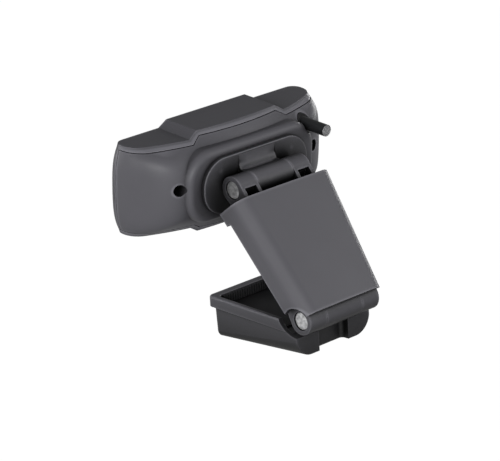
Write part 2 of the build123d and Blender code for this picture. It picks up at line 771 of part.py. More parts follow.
# second step of the boss, with the knuckle of the upper hinge
step2 = rounded_slab(step2_half_width, step2_half_height, step2_corner,
                     step2_face_y, step1_face_y - tiny)
step2 = fillet(step2.faces().sort_by(Axis.Y)[0].edges(), step2_edge)
neck_root = step2_face_y + 0.5
neck_flare = 2.4
neck_half = barrel_radius - 0.7
neck_points = [
    (0, neck_half), (neck_root - 0.5 - neck_flare / 2, neck_half),
    (step2_face_y + tiny, neck_half + neck_flare), (neck_root, neck_half + neck_flare),
    (neck_root, -neck_half - neck_flare), (step2_face_y + tiny, -neck_half - neck_flare),
    (neck_root - 0.5 - neck_flare / 2, -neck_half), (0, -neck_half),
]
hinge_boss = step2 + side_prism(neck_points, -knuckle_half, knuckle_half)
hinge_boss += x_cylinder(barrel_radius, -knuckle_half, knuckle_half)
hinge_boss -= x_cylinder(pin_radius + pin_fit, -knuckle_half - 1, knuckle_half + 1)
for side in (-1, 1):
    seat = x_cylinder(washer_radius + head_fit, 0, washer_seat + 1)
    start = knuckle_half - washer_seat if side > 0 else -knuckle_half - 1
    hinge_boss -= Pos(start, 0, 0) * seat
boss_screws = []
for x, z in boss_posts:
    hinge_boss += y_cylinder(screw_post_radius, step2_face_y + 1, boss_post_end, x, z)
    hinge_boss -= y_cylinder(screw_shank_radius, step2_face_y + 0.9, 20, x, z)
    place = Pos(x, boss_post_end + 0.02, z) * Rot(-90, 0, 0)
    boss_screws.append(place * screw(boss_screw_head_radius, screw_head_height,
                                     screw_shank_radius - tiny, 4.4))
write(hinge_boss, "hinge_boss", head_frame)
write(Compound(children=boss_screws), "boss_screws", head_frame)

# front shell: panel recess, openings and the posts that take the housing screws
panel_half_width = edge_half_width - edge_front_radius - 1.2
panel_recess_y = head_front_y - panel_thickness


def panel_plate(gap, y0, y1):
    """The glossy front panel's outline, following the raised centre."""
    plate = profile_prism(panel_margin + gap)
    plate &= block(-panel_half_width + gap, panel_half_width - gap, y0, y1,
                   -head_reach, head_reach)
    return plate


front_shell -= panel_plate(0, panel_recess_y, head_front_y + 1)
lens_hole = lens_ring_outer - 1.2
front_shell -= y_cylinder(lens_hole, 20, 40, 0, -head_drop)
post_gap = 0.15
for side in (-1, 1):
    x = side * well_x
    post = y_cylinder(screw_post_radius, well_floor_y + 1.2 + post_gap,
                      panel_recess_y - 1, x, well_z)
    front_shell += post
    front_shell -= y_cylinder(screw_shank_radius, 0, well_floor_y + 9, x, well_z)
    for z in (-board_screw_z, board_screw_z):
        stand = y_cylinder(board_post_radius, board_y + board_thickness + 0.02,
                           panel_recess_y - 1, side * board_screw_x, z - head_drop)
        front_shell += stand
        front_shell -= y_cylinder(screw_shank_radius, 0, board_y + 7,
                                  side * board_screw_x, z - head_drop)
    for offset in (-1.2, 0, 1.2):
        port = y_cylinder(0.5, 20, 40, side * microphone_x + offset, -head_drop)
        front_shell -= port
front_shell -= y_cylinder(light_radius + 0.05, 20, 40, light_x, -head_drop)
write(front_shell, "front_shell", head_frame)

panel = panel_plate(panel_gap, panel_recess_y + tiny, head_front_y)
panel = panel - y_cylinder(lens_ring_outer + panel_gap, 20, 40, 0, -head_drop)
for side in (-1, 1):
    for offset in (-1.2, 0, 1.2):
        panel -= y_cylinder(0.4, 20, 40, side * microphone_x + offset, -head_drop)
panel -= y_cylinder(light_radius + 0.05, 20, 40, light_x, -head_drop)
write(panel, "front_panel", head_frame)

housing_screws = []
for side in (-1, 1):
    place = Pos(side * well_x, well_floor_y - 0.01, well_z) * Rot(90, 0, 0)
    housing_screws.append(place * screw(well_radius - 0.25, 1.5,
                                        screw_shank_radius - tiny, 6.5))
write(Compound(children=housing_screws), "housing_screws", head_frame)

# grommet and cable stub
grommet = y_cylinder(grommet_radius - tiny, 0, 19, cable_x, cable_z)
grommet &= housing(-grommet_proud, 0)
inner_flange = y_cylinder(grommet_flange, 16.4, 19, cable_x, cable_z)
grommet += inner_flange & housing(shell_wall + tiny, front_wall)
grommet -= y_cylinder(cable_radius + 0.02, 0, 20, cable_x, cable_z)
write(grommet, "cable_grommet", head_frame)
exit_y = middle_rear_y + 4.9
cable = y_cylinder(cable_radius, exit_y - cable_length, exit_y + cable_inside,
                   cable_x, cable_z)
write(cable, "usb_cable", head_frame)

# circuit board with what stands on it
board = block(-board_half_width, board_half_width, board_y, board_y + board_thickness,
              -board_half_height - head_drop, board_half_height - head_drop)
board = fillet(board.edges().filter_by(Axis.Y), 1.5)
board_screws = []
for side in (-1, 1):
    for z in (-board_screw_z, board_screw_z):
        x = side * board_screw_x
        board -= y_cylinder(screw_shank_radius + head_fit, 20, 30, x, z - head_drop)
        place = Pos(x, board_y - 0.02, z - head_drop) * Rot(90, 0, 0)
        board_screws.append(place * screw(screw_head_radius, screw_head_height,
                                          screw_shank_radius - tiny, 4.6))
write(board, "main_board", head_frame)
write(Compound(children=board_screws), "board_screws", head_frame)

board_front = board_y + board_thickness + 0.02
microphones = []
mic_x, mic_y, mic_z = microphone_size
for side in (-1, 1):
    box = block(-mic_x / 2, mic_x / 2, board_front, board_front + mic_y,
                -mic_z / 2 - head_drop, mic_z / 2 - head_drop)
    box = fillet(box.edges().filter_by(Axis.Y), 0.3)
    box -= y_cylinder(0.35, board_front + mic_y / 2, board_front + 2 * mic_y, 0, -head_drop)
    microphones.append(Pos(side * microphone_x, 0, 0) * box)
write(Compound(children=microphones), "microphones", head_frame)

con_x, con_y, con_z = connector_size
socket_x = board_screw_x - 9.5
socket_z = board_half_height - con_z
connector = block(-con_x / 2, con_x / 2, board_y - con_y - 0.02, board_y - 0.02,
                  -con_z / 2, con_z / 2)
connector -= block(-con_x / 2 + 0.7, con_x / 2 - 0.7, board_y - con_y - 1,
                   board_y - 1.2, -con_z / 2 + 0.7, con_z / 2 - 0.7)
write(Pos(socket_x, 0, socket_z) * connector, "cable_connector", head_frame)

led = block(light_x - 0.8, light_x + 0.8, board_front, board_front + 0.7,
            -0.5 - head_drop, 0.5 - head_drop)
write(led, "status_led", head_frame)
light_guide = y_cylinder(light_radius, board_front + 0.8, head_front_y - 0.05,
                         light_x, -head_drop)
light_guide += y_cylinder(light_radius + 0.6, board_front + 0.8, board_front + 2.2,
                          light_x, -head_drop)
write(light_guide, "status_light_guide", head_frame)

# lens: ring and glass in front, holder, barrel, elements, filter and sensor behind
ring_back = head_front_y - lens_ring_depth + 0.6
lens_ring = y_cylinder(lens_ring_outer, panel_recess_y + tiny, head_front_y + 0.6,
                       0, -head_drop)
lens_ring = chamfer(lens_ring.edges().group_by(Axis.Y)[-1], 0.5)
lens_ring += y_cylinder(lens_hole - 0.1, ring_back - 1.5, head_front_y - 1, 0, -head_drop)
glass_back = head_front_y - glass_seat - glass_thickness
lens_ring -= y_cylinder(lens_ring_inner, glass_back, 40, 0, -head_drop)
lens_ring -= y_cylinder(lens_ring_inner - 0.9, 20, 40, 0, -head_drop)
write(lens_ring, "lens_ring", head_frame)
glass = y_cylinder(lens_ring_inner - 0.05, glass_back + tiny,
                   glass_back + glass_thickness, 0, -head_drop)
write(glass, "cover_glass", head_frame)

holder_front = board_front + holder_base
holder = block(-holder_half, holder_half, board_front, holder_front,
               -holder_half - head_drop, holder_half - head_drop)
holder = fillet(holder.edges().filter_by(Axis.Y), 1.2)
holder += y_cylinder(holder_tube_radius, holder_front - tiny,
                     holder_front + holder_tube_length, 0, -head_drop)
holder -= block(-sensor_half - 1, sensor_half + 1, board_front - 1, board_front + 1.9,
                -sensor_half - 1 - head_drop, sensor_half + 1 - head_drop)
holder -= y_cylinder(barrel_outer + 0.02, holder_front, 40, 0, -head_drop)
holder -= y_cylinder(filter_half - 0.4, board_front, 40, 0, -head_drop)
write(holder, "lens_holder", head_frame)

sensor = block(-sensor_half, sensor_half, board_front, board_front + sensor_thickness,
               -sensor_half - head_drop, sensor_half - head_drop)
write(sensor, "image_sensor", head_frame)
filter_plate = block(-filter_half, filter_half, board_front + 1.9 - filter_thickness,
                     board_front + 1.9 - tiny, -filter_half - head_drop,
                     filter_half - head_drop)
write(filter_plate, "infrared_filter", head_frame)

barrel_back = holder_front + 0.2
barrel_front = barrel_back + barrel_length
barrel = y_cylinder(barrel_outer, barrel_back, barrel_front, 0, -head_drop)
barrel = chamfer(barrel.edges().group_by(Axis.Y)[-1], 0.4)
barrel -= y_cylinder(barrel_inner, barrel_back + 0.6, barrel_front - 0.6, 0, -head_drop)
barrel -= y_cylinder(barrel_inner - 0.8, 0, 40, 0, -head_drop)
write(barrel, "lens_barrel", head_frame)
elements = []
room = barrel_length - 1.2
pitch = room / element_count
for index in range(element_count):
    start = barrel_back + 0.6 + index * pitch + 0.08
    element = y_cylinder(barrel_inner - 0.02, start, start + pitch - 0.16, 0, -head_drop)
    hollow = Sphere(7.0)
    element -= Pos(0, start + pitch - 0.16 + 6.4, -head_drop) * hollow
    elements.append(element)
write(Compound(children=elements), "lens_elements", head_frame)
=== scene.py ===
"""Webcam on a folding clip stand: finishes, fine pieces, light and camera.

Metres, +Z up, the lens looks along +Y. The origin is the mouth of the tripod thread, on
the plane that the foot rests on.
"""
import bmesh
import bpy
import json
import numpy as np
from mathutils import Matrix, Vector


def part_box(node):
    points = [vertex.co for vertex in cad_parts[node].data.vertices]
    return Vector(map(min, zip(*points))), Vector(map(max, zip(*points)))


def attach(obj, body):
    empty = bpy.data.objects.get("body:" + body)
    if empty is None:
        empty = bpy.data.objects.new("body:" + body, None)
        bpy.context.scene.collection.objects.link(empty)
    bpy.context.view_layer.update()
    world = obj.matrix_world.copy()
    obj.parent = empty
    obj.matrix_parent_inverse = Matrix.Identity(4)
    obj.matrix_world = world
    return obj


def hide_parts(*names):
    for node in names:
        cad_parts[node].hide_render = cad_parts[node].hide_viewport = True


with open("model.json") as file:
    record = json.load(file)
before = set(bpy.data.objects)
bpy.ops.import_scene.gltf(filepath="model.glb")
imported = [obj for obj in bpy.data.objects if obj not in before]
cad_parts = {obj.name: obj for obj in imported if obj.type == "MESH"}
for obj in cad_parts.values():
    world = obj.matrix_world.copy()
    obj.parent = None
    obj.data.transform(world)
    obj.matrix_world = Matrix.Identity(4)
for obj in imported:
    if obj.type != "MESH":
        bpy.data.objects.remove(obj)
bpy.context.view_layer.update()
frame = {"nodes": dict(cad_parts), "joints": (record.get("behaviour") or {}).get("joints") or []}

nodes = frame["nodes"]

# =====================================================================================
# Studio: a long lens behind the object and a little above it, and five soft boxes round
# it at a plain level.
# =====================================================================================
bpy.context.scene.view_settings.view_transform = "Standard"
camera_place = Vector((-0.6592, -0.7303, 0.3470))
camera_way = Vector((0.6312, 0.7178, -0.2939)).normalized()
camera_upright = Vector((0.2661, 0.1555, 0.9513))
camera_side = camera_way.cross(camera_upright).normalized()
camera_top = camera_side.cross(camera_way)

camera_data = bpy.data.cameras.new("studio_camera")
camera_data.sensor_fit = "HORIZONTAL"
camera_data.sensor_width = 36.0
camera_data.lens = 187.8
camera_data.clip_start = 0.01
camera = bpy.data.objects.new("studio_camera", camera_data)
camera_turn = Matrix((camera_side, camera_top, -camera_way)).transposed().to_4x4()
camera.matrix_world = Matrix.Translation(camera_place) @ camera_turn
bpy.context.scene.collection.objects.link(camera)
bpy.context.scene.camera = camera

object_middle = Vector((0.0, 0.0, 0.05))
lamp_distance = 1.25


def soft_box(name, bearing, height, width, length, watts):
    """A rectangular soft light that looks at the object's middle. Its bearing runs from the
    rear towards +X and its height from the horizon up, both in degrees."""
    turn, rise = np.radians(bearing), np.radians(height)
    way = Vector((np.cos(rise) * np.sin(turn), -np.cos(rise) * np.cos(turn), np.sin(rise)))
    data = bpy.data.lights.new(name, "AREA")
    data.shape = "RECTANGLE"
    data.size = width
    data.size_y = length
    data.energy = watts
    lamp = bpy.data.objects.new(name, data)
    lamp.location = object_middle + lamp_distance * way
    lamp.rotation_euler = (-way).to_track_quat("-Z", "Y").to_euler()
    bpy.context.scene.collection.objects.link(lamp)


soft_box("back_light", bearing=-34, height=6, width=0.80, length=0.60, watts=11.0)
soft_box("right_light", bearing=50, height=18, width=0.50, length=0.60, watts=3.0)
soft_box("front_light", bearing=-142, height=12, width=0.80, length=0.60, watts=4.0)
soft_box("edge_light", bearing=106, height=3, width=0.60, length=0.50, watts=5.0)
soft_box("left_light", bearing=-84, height=12, width=0.50, length=0.70, watts=3.0)

# =====================================================================================
# Sweep: white paper round and under the object. The camera sees it white, mirrors and
# glass see a share of that, and it throws almost no light on the object itself.
# =====================================================================================
white = (1.0, 1.0, 1.0, 1.0)
sky_mirror_share = 0.20
room_light = 0.01
floor_mirror_share = 0.45
floor_grey = (0.06, 0.06, 0.06, 1.0)
floor_reach = 6.0
floor_drop = 0.0002


def maths(tree, operation, *values):
    """The output of a Math node. Each value is a number or another node's output."""
    step = tree.nodes.new("ShaderNodeMath")
    step.operation = operation
    for socket, value in zip(step.inputs, values):
        if isinstance(value, float):
            socket.default_value = value
        else:
            tree.links.new(value, socket)
    return step.outputs[0]


def paper_strength(tree, mirror_share):
    """How brightly a ray sees the paper: 1 for one that comes straight from the camera, and
    mirror_share for one that comes off a gloss surface or through glass."""
    path = tree.nodes.new("ShaderNodeLightPath")
    mirrored = maths(tree, "MAXIMUM", path.outputs["Is Glossy Ray"],
                     path.outputs["Is Transmission Ray"])
    return maths(tree, "MULTIPLY_ADD", mirrored, mirror_share, path.outputs["Is Camera Ray"])


world = bpy.data.worlds.new("studio")
bpy.context.scene.world = world
world.use_nodes = True
tree = world.node_tree
tree.nodes.clear()
room = tree.nodes.new("ShaderNodeBackground")
room.inputs["Color"].default_value = white
room.inputs["Strength"].default_value = room_light
backdrop = tree.nodes.new("ShaderNodeBackground")
backdrop.inputs["Color"].default_value = white
backdrop.inputs["Strength"].default_value = 1.0
pick = tree.nodes.new("ShaderNodeMixShader")
tree.links.new(paper_strength(tree, sky_mirror_share), pick.inputs[0])
tree.links.new(room.outputs[0], pick.inputs[1])
tree.links.new(backdrop.outputs[0], pick.inputs[2])
world_out = tree.nodes.new("ShaderNodeOutputWorld")
tree.links.new(pick.outputs[0], world_out.inputs["Surface"])

# The floor shows no underside, and lies a hair lower than the sole so that the two faces
# don't fight from below.
floor_mesh = bpy.data.meshes.new("studio_floor")
floor_mesh.from_pydata(
    [(x * floor_reach, y * floor_reach, -floor_drop)
     for x, y in ((-1, -1), (1, -1), (1, 1), (-1, 1))],
    [], [(0, 1, 2, 3)])
floor = bpy.data.objects.new("studio_floor", floor_mesh)
bpy.context.scene.collection.objects.link(floor)
floor_paint = bpy.data.materials.new("floor_paint")
floor_paint.use_nodes = True
tree = floor_paint.node_tree
tree.nodes.clear()
glow = tree.nodes.new("ShaderNodeEmission")
tree.links.new(paper_strength(tree, floor_mirror_share), glow.inputs["Strength"])
lit = tree.nodes.new("ShaderNodeBsdfDiffuse")
lit.inputs["Color"].default_value = floor_grey
top_face = tree.nodes.new("ShaderNodeAddShader")
tree.links.new(glow.outputs[0], top_face.inputs[0])
tree.links.new(lit.outputs[0], top_face.inputs[1])
underside = tree.nodes.new("ShaderNodeBsdfTransparent")
side = tree.nodes.new("ShaderNodeNewGeometry")
one_way = tree.nodes.new("ShaderNodeMixShader")
tree.links.new(side.outputs["Backfacing"], one_way.inputs[0])
tree.links.new(top_face.outputs[0], one_way.inputs[1])
tree.links.new(underside.outputs[0], one_way.inputs[2])
floor_out = tree.nodes.new("ShaderNodeOutputMaterial")
tree.links.new(one_way.outputs[0], floor_out.inputs["Surface"])
floor_mesh.materials.append(floor_paint)

# =====================================================================================
# Foot: an open tray, injection moulded in charcoal ABS with a fine spark-eroded
# texture, hollow below. Its rear edge carries the lower hinge's knuckle.
# =====================================================================================


def new_finish(name):
    """A material, its node tree and its shader."""
    paint = bpy.data.materials.new(name)
    paint.use_nodes = True
    return paint, paint.node_tree, paint.node_tree.nodes["Principled BSDF"]


def noise(tree, scale, detail):
    """Cloudy noise that keeps its place on the piece; the scale is per metre."""
    coords = tree.nodes.new("ShaderNodeTexCoord")
    cloud = tree.nodes.new("ShaderNodeTexNoise")
    cloud.inputs["Scale"].default_value = scale
    cloud.inputs["Detail"].default_value = detail
    tree.links.new(coords.outputs["Object"], cloud.inputs["Vector"])
    return cloud.outputs["Fac"]


def ramp(tree, value, low, high, start=0.0, end=1.0):
    """Maps start to low and end to high in a straight line, and stops at both."""
    scale = tree.nodes.new("ShaderNodeMapRange")
    scale.inputs["From Min"].default_value = start
    scale.inputs["From Max"].default_value = end
    scale.inputs["To Min"].default_value = low
    scale.inputs["To Max"].default_value = high
    tree.links.new(value, scale.inputs["Value"])
    return scale.outputs["Result"]


def openness(tree, reach, samples):
    """A node whose AO is 1 on open ground, and less where surfaces stand within reach."""
    around = tree.nodes.new("ShaderNodeAmbientOcclusion")
    around.samples = samples
    around.inputs["Distance"].default_value = reach
    return around


def shaded_colour(tree, shader, colour, shade):
    """Gives the shader a colour times a shade that varies over the piece."""
    body = tree.nodes.new("ShaderNodeVectorMath")
    body.operation = "SCALE"
    body.inputs[0].default_value = colour
    tree.links.new(shade, body.inputs["Scale"])
    tree.links.new(body.outputs["Vector"], shader.inputs["Base Color"])


def relief(tree, shader, height, strength, depth):
    """Gives the shader a fine relief, and returns the node that makes it."""
    bump = tree.nodes.new("ShaderNodeBump")
    bump.inputs["Strength"].default_value = strength
    bump.inputs["Distance"].default_value = depth
    tree.links.new(height, bump.inputs["Height"])
    tree.links.new(bump.outputs["Normal"], shader.inputs["Normal"])
    return bump


def moulded_plastic(name, colour, roughness, grain_size, grain_depth, wear_and_painted_highlight=0.0, painted_shade_power=2.8):
    """Textured moulding: colour and gloss drift a little and a fine grain makes the relief.
    Shade is painted into the hollows: the colour darkens by their openness to a power. Where
    the edge strength is above nought, outward edges are painted paler, by how little material
    lies behind them and how sharply they turn: partly wear and partly a painted highlight."""
    paint, tree, shader = new_finish(name)
    shader.inputs["Specular IOR Level"].default_value = 0.36
    # Painted shade: the ambient occlusion, raised to a power, darkens the colour in hollows and
    # between parts.
    painted_hollow_shade = openness(tree, reach=0.025, samples=12)
    shade = maths(tree, "POWER", painted_hollow_shade.outputs["AO"], painted_shade_power)
    drift = ramp(tree, noise(tree, 60.0, 3.0), 0.93, 1.07)
    shade = maths(tree, "MULTIPLY", shade, drift)
    rounded = tree.nodes.new("ShaderNodeBevel")
    rounded.samples = 6
    rounded.inputs["Radius"].default_value = 0.00035
    # Paler outward edges: partly wear from handling and partly a painted highlight along the
    # edges.
    if wear_and_painted_highlight > 0.0:
        edges = openness(tree, reach=0.0012, samples=8)
        edges.inside = True
        edges.only_local = True
        polish_and_highlight = ramp(tree, edges.outputs["AO"], 1.0, 1.0 + 2.0 * wear_and_painted_highlight, start=0.95, end=0.55)
        shade = maths(tree, "MULTIPLY", shade, polish_and_highlight)
        surface = tree.nodes.new("ShaderNodeNewGeometry")
        bend = tree.nodes.new("ShaderNodeVectorMath")
        bend.operation = "DOT_PRODUCT"
        tree.links.new(rounded.outputs["Normal"], bend.inputs[0])
        tree.links.new(surface.outputs["Normal"], bend.inputs[1])
        worn_and_highlit = ramp(tree, bend.outputs["Value"], 1.0, 1.0 + wear_and_painted_highlight, start=0.995, end=0.80)
        shade = maths(tree, "MULTIPLY", shade, worn_and_highlit)
    shaded_colour(tree, shader, colour, shade)
    grain = noise(tree, 1.0 / grain_size, 2.0)
    gloss = ramp(tree, grain, roughness - 0.05, roughness + 0.05)
    tree.links.new(gloss, shader.inputs["Roughness"])
    bump = relief(tree, shader, grain, strength=0.22, depth=grain_depth)
    tree.links.new(rounded.outputs["Normal"], bump.inputs["Normal"])
    return paint


def dress(paint, *names):
    """Gives CAD pieces one finish."""
    for name in names:
        mesh = nodes[name].data
        mesh.materials.clear()
        mesh.materials.append(paint)


# Foot, arm and housing moulding: shade painted into its hollows, and edges painted paler, partly
# as wear and partly as a painted highlight.
charcoal_abs = moulded_plastic(
    "charcoal_abs", (0.146, 0.144, 0.161), 0.45, 0.00045, 0.00006, wear_and_painted_highlight=0.35)
dress(charcoal_abs, "base_tray")

# =====================================================================================
# Foot pads: die-cut sheet rubber glued to the tray's floor, and a moulded strip with
# upright grooves on its front wall, both to grip the screen's edge.
# =====================================================================================


def sheet_rubber(name, colour, roughness):
    """Matt rubber: dusty mottling, with shade painted darker into its hollows, over a pebbled
    surface.
    """
    paint, tree, shader = new_finish(name)
    shader.inputs["Roughness"].default_value = roughness
    shader.inputs["Specular IOR Level"].default_value = 0.3
    dust = ramp(tree, noise(tree, 220.0, 5.0), 0.8, 1.25)
    # Painted shade: the colour darkens in hollows by their ambient occlusion; the mottling is
    # dust.
    painted_hollow_shade = openness(tree, reach=0.020, samples=8)
    shade = maths(tree, "MULTIPLY", dust, painted_hollow_shade.outputs["AO"])
    shaded_colour(tree, shader, colour, shade)
    coords = tree.nodes.new("ShaderNodeTexCoord")
    pebbles = tree.nodes.new("ShaderNodeTexVoronoi")
    pebbles.inputs["Scale"].default_value = 1800.0
    tree.links.new(coords.outputs["Object"], pebbles.inputs["Vector"])
    relief(tree, shader, pebbles.outputs["Distance"], strength=0.4, depth=0.00008)
    return paint


pad_rubber = sheet_rubber("pad_rubber", (0.034, 0.034, 0.037), 0.66)
dress(pad_rubber, "tray_floor_pad", "front_wall_pad")

# =====================================================================================
# Sole: a flat ABS plate, held up into the foot by four small screws in black zinc.
# =====================================================================================


def turned_metal(name, colour, roughness, scuffs_per_metre, mottle=0.0):
    """Plated metal: fine scuffs vary its gloss and raise its surface a little, and its tone
    falls by up to the mottle between them."""
    paint, tree, shader = new_finish(name)
    shader.inputs["Metallic"].default_value = 1.0
    scuffs = noise(tree, scuffs_per_metre, 6.0)
    gloss = ramp(tree, scuffs, max(roughness - 0.1, 0.02), roughness + 0.12)
    tree.links.new(gloss, shader.inputs["Roughness"])
    shaded_colour(tree, shader, colour, ramp(tree, scuffs, 1.0 - mottle, 1.0, start=0.3, end=0.7))
    relief(tree, shader, scuffs, strength=0.3, depth=0.00003)
    return paint


# Shade painted into the sole's hollows, and its edges painted a little paler, partly as wear and
# partly as a painted highlight.
sole_abs = moulded_plastic("sole_abs", (0.050, 0.050, 0.054), 0.50, 0.0006, 0.00008, wear_and_painted_highlight=0.2)
dress(sole_abs, "sole_plate")
black_screw = turned_metal("black_zinc", (0.18, 0.18, 0.19), 0.35, 1500.0, mottle=0.2)
dress(black_screw, "sole_screws")

# =====================================================================================
# Tripod insert: a turned brass bush with a flange and a knurled body, pressed into the
# foot's boss and threaded 1/4-20. Its mouth is countersunk.
# =====================================================================================
insert_brass = turned_metal("insert_brass", (0.72, 0.52, 0.25), 0.28, 1200.0, mottle=0.15)
insert_low, insert_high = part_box("tripod_insert")
bush_length = insert_high[2] - insert_low[2]
flange_radius = insert_high[0]
flange_height = 0.00089
body_radius = 0.00429
bush_edge = 0.00012
mouth_radius = 0.00332
thread_crest = 0.00255
thread_root = 0.00312
thread_pitch = 0.00127
knurls = 32
knurl_depth = 0.00022


def grid_piece(name, points, paint, rows_closed=False, crease=35.0):
    """A mesh over a grid of points, or a stack of such grids, with one quad per cell. The
    columns join round, and closed rows join their last to the first. Points that meet at a
    pole are merged. Faces are turned outwards by the sign of the enclosed volume."""
    rows, columns = points.shape[-3:-1]
    down = np.arange(rows if rows_closed else rows - 1)[:, None]
    across = np.arange(columns)[None, :]
    below, beside = (down + 1) % rows, (across + 1) % columns
    quads = np.stack([down * columns + across, down * columns + beside,
                      below * columns + beside, below * columns + across], axis=-1)
    flat = points.reshape(-1, 3)
    first = np.arange(0, len(flat), rows * columns)
    quads = (quads.reshape(1, -1, 4) + first[:, None, None]).reshape(-1, 4)
    corner = flat[quads]
    volume = np.einsum("ij,ij->", corner[:, 0], np.cross(corner[:, 1], corner[:, 2]))
    volume += np.einsum("ij,ij->", corner[:, 0], np.cross(corner[:, 2], corner[:, 3]))
    if volume < 0:
        quads = quads[:, ::-1]
    mesh = bpy.data.meshes.new(name)
    mesh.from_pydata(flat.tolist(), [], quads.tolist())
    shell = bmesh.new()
    shell.from_mesh(mesh)
    bmesh.ops.remove_doubles(shell, verts=shell.verts, dist=1e-7)
    shell.to_mesh(mesh)
    shell.free()
    mesh.materials.append(paint)
    mesh.shade_smooth()
    mesh.set_sharp_from_angle(angle=np.radians(crease))
    piece = bpy.data.objects.new(name, mesh)
    bpy.context.scene.collection.objects.link(piece)
    return piece


def full_turn(steps):
    """Angles once round, in equal steps."""
    return np.linspace(0.0, 2 * np.pi, steps, endpoint=False)


def threaded_bush():
    """Round section: radius by row and angle. The body's radius loses a knurl's depth where
    a triangle wave of the angle peaks; the bore's radius is crest + depth x a cosine wave
    of height / pitch - angle / full turn, widened to a countersink at the mouth."""
    turn = full_turn(160)
    knurled = body_radius - knurl_depth * np.abs((turn * knurls / (2 * np.pi)) % 1.0 * 2 - 1)
    outside = [(0.0, mouth_radius),
               (0.0, flange_radius - bush_edge),
               (bush_edge, flange_radius),
               (flange_height - bush_edge, flange_radius),
               (flange_height, flange_radius - bush_edge),
               (flange_height, knurled),
               (bush_length - 2 * bush_edge, knurled),
               (bush_length, body_radius - knurl_depth - bush_edge),
               (bush_length, thread_root + bush_edge)]
    bore_height = np.linspace(bush_length - bush_edge, 2 * bush_edge, 96)[:, None]
    wave = (1 + np.cos(2 * np.pi * bore_height / thread_pitch - turn)) / 2
    bore = thread_crest + (thread_root - thread_crest) * wave
    bore = np.maximum(bore, thread_root - bore_height)
    all_round = np.ones_like(turn)
    radius = np.vstack([row * all_round for _, row in outside] + [bore])
    height = np.vstack([row * all_round for row, _ in outside] + [bore_height * all_round])
    return np.stack([radius * np.cos(turn), radius * np.sin(turn),
                     height + insert_low[2]], axis=-1)


bush = grid_piece("threaded_bush", threaded_bush(), insert_brass, rows_closed=True)
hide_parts("tripod_insert")
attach(bush, "base")

# =====================================================================================
# Hinges: headed steel pins through lugs and knuckles, a friction washer on each side
# of the knuckle, and a push-on ring on the pin's far end.
# =====================================================================================
pin_steel = turned_metal("pin_steel", (0.95, 0.95, 0.96), 0.42, 800.0, mottle=0.50)
dress(pin_steel, "lower_hinge_pin", "upper_hinge_pin")
washer_steel = turned_metal("washer_steel", (0.45, 0.45, 0.46), 0.35, 1500.0, mottle=0.2)
dress(washer_steel, "lower_friction_washers", "upper_friction_washers",
      "lower_pin_ring", "upper_pin_ring")

# =====================================================================================
# Arm: a moulded cover with rolled sides over a ribbed link that carries the lugs,
# joined by four screws from below, with a rubber pad against the screen's back.
# =====================================================================================
dress(charcoal_abs, "arm_cover", "arm_link")
dress(black_screw, "arm_screws")
dress(pad_rubber, "arm_grip_pad")

# =====================================================================================
# Head housing: a bowed rear cover and a front shell that meet in a fine groove, held by
# two screws down the wells. The stepped boss on the back carries the upper knuckle.
# =====================================================================================
dress(charcoal_abs, "rear_cover", "front_shell")
# Boss moulding: shade painted much deeper into its hollows, so that it falls to black round the
# knuckle and under the arm, and edges painted paler, partly as wear and partly as a painted
# highlight.
boss_abs = moulded_plastic(
    "boss_abs", (0.168, 0.166, 0.184), 0.45, 0.00045, 0.00006, wear_and_painted_highlight=0.45, painted_shade_power=5.0)
dress(boss_abs, "hinge_boss")
dress(black_screw, "boss_screws", "housing_screws")

# =====================================================================================
# Neck of the boss: a hollow fillet of the same moulding above the knuckle. Its sizes are
# in the head's own frame, from the upper hinge's axis: ahead is towards the lens.
# =====================================================================================
head_pitch = np.radians(7.8)
hinges = {joint["name"]: joint for joint in frame["joints"]}
head_axis = np.array(hinges["head_tilt"]["pos_m"])
boss_face = 0.00595
knuckle_half = 0.00969
neck_top = 0.00488
slope_start = 0.00470
slope_rise = 0.0024
fillet_start = 0.0030
fillet_top = 0.0108
fillet_lip = 0.00002
fillet_overlap = 0.0001
fillet_skirt = 0.0004


def in_head(across, ahead, up):
    """A point of the head's own frame, whose origin is on the upper hinge's axis: the frame
    is turned about X by the head's pitch, then moved to the axis."""
    return np.stack(np.broadcast_arrays(
        head_axis[0] + across,
        head_axis[1] + ahead * np.cos(head_pitch) - up * np.sin(head_pitch),
        head_axis[2] + ahead * np.sin(head_pitch) + up * np.cos(head_pitch)), axis=-1)


def neck_fillet():
    """Closed prism along the hinge. In its middle the hollow side is a quarter ellipse:
    ahead grows with the sine of an angle and up falls short of the top by its cosine. Near
    the ends it eases, by 3w^2 - 2w^3, into the straight slope of the moulded neck, and the
    two ends close on a point inside the section."""
    angle = np.linspace(0.0, np.pi / 2, 17)
    up = fillet_top - (fillet_top - neck_top) * np.cos(angle)
    hollow = fillet_start + (boss_face - fillet_lip - fillet_start) * np.sin(angle)
    slope = np.interp(up, [neck_top, neck_top + slope_rise], [slope_start, boss_face])
    half_spread = np.array([1.0, 1.0, 0.93, 0.86, 0.78, 0.7, 0.6, 0.5, 0.0])
    spread = np.concatenate([-half_spread, half_spread[-2::-1]])
    ease = np.clip((1 - np.abs(spread)) / 0.5, 0.0, 1.0)
    ease = (3 * ease ** 2 - 2 * ease ** 3)[:, None]
    ahead = ease * hollow + (1 - ease) * slope
    inside_boss = np.full((len(spread), 2), boss_face + fillet_overlap)
    ahead = np.hstack([ahead, inside_boss, ahead[:, :1]])
    skirt_foot = neck_top - fillet_skirt
    up = np.concatenate([up, [fillet_top, skirt_foot, skirt_foot]])
    section = np.ones((len(spread), 1))
    section[[0, -1]] = 0.0
    end_ahead, end_up = boss_face - 0.00045, neck_top + 0.0003
    return in_head(spread[:, None] * knuckle_half,
                   end_ahead + (ahead - end_ahead) * section,
                   end_up + (up - end_up) * section)


fillet = grid_piece("boss_neck_fillet", neck_fillet(), boss_abs)
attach(fillet, "head")

